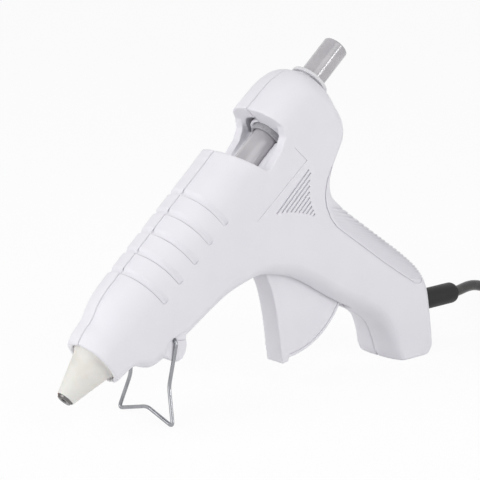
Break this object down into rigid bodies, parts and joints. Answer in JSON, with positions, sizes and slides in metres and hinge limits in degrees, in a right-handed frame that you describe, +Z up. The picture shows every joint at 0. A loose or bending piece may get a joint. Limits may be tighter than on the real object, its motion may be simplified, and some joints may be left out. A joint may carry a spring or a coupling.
{
  "type": "hot glue gun",
  "caption": "White pistol-shaped hot glue applicator on its folding wire stand, with pull trigger, stick feed, silicone nozzle sleeve, grooved barrel and black mains cord.",
  "frame": {"origin": "on the surface it stands on, under the middle of the gun measured without its free cord, hank and plug", "axes": "+Z up, +X from the nozzle back to the cord entry, +Y to the side with the screw heads; the half shells meet at y = 0"},
  "size_m": [0.3796, 0.0362, 0.1435],
  "materials": {
    "shell": "satin white moulded plastic",
    "silicone": "matte cream silicone",
    "steel": "plain steel",
    "tip_metal": "darker machined metal",
    "brass": "rolled brass strip",
    "aluminium": "cast aluminium",
    "ceramic": "dark fired ceramic",
    "nylon": "grey moulded nylon",
    "glue": "glossy translucent grey hot-melt glue",
    "cord_rubber": "satin black",
    "brown_wire": "brown insulation",
    "blue_wire": "blue insulation"
  },
  "bodies": {
    "gun": {"left_shell": "shell", "right_shell": "shell", "nozzle_tip": "tip_metal", "nozzle_sleeve": "silicone", "heating_chamber": "aluminium", "contact_plate_upper": "brass", "heater_disc": "ceramic", "contact_plate_lower": "brass", "heater_clip": "steel", "entry_sleeve": "silicone", "sleeve_clamp": "steel", "feed_collar": "nylon", "rear_guide": "nylon", "trigger_pin": "steel", "shell_screw_1": "steel", "shell_screw_2": "steel", "shell_screw_3": "steel", "shell_screw_4": "steel", "shell_screw_5": "steel", "strain_relief": "cord_rubber", "cord_tail": "cord_rubber", "cord_clamp": "nylon", "clamp_screw_lower": "steel", "clamp_screw_upper": "steel", "lead_wire_brown": "brown_wire", "lead_wire_blue": "blue_wire", "return_spring": "steel", "power_cord": "cord_rubber", "cord_coil": "cord_rubber", "coil_tie": "cord_rubber", "plug_body": "cord_rubber", "plug_pin_1": "steel", "plug_pin_2": "steel"},
    "trigger": {"trigger": "shell", "drive_pin": "steel"},
    "carriage": {"carriage": "nylon", "jaw_pin": "steel"},
    "jaw": {"grip_jaw": "steel"},
    "stick": {"glue_stick": "glue"},
    "stand": {"wire_stand": "steel"}
  },
  "joints": [
    {"name": "trigger_pull", "type": "hinge", "parent": "gun", "child": "trigger", "pos_m": [0.00297, 0, 0.0485], "axis": [0, -1, 0], "range_deg": [0, 20], "stiffness_Nm_per_rad": 0.15, "springref_deg": -11.46},
    {"name": "carriage_slide", "type": "slide", "parent": "gun", "child": "carriage", "axis": [-0.7615, 0, -0.6481], "range_m": [0, 0.01241], "deforming": ["return_spring"]},
    {"name": "jaw_tilt", "type": "hinge", "parent": "carriage", "child": "jaw", "pos_m": [-0.02616, 0, 0.07562], "axis": [0, 1, 0], "range_deg": [0, 5]},
    {"name": "stick_feed", "type": "slide", "parent": "gun", "child": "stick", "axis": [-0.7615, 0, -0.6481], "range_m": [0, 0.01241]},
    {"name": "stand_fold", "type": "hinge", "parent": "gun", "child": "stand", "pos_m": [-0.06451, 0, 0.03406], "axis": [0, -1, 0], "range_deg": [0, 75]}
  ],
  "couplings": [
    {"joint": "carriage_slide", "follows": "trigger_pull", "m_per_rad": 0.035497},
    {"joint": "stick_feed", "follows": "trigger_pull", "m_per_rad": 0.035497},
    {"joint": "jaw_tilt", "follows": "trigger_pull", "ratio": 0.25}
  ]
}
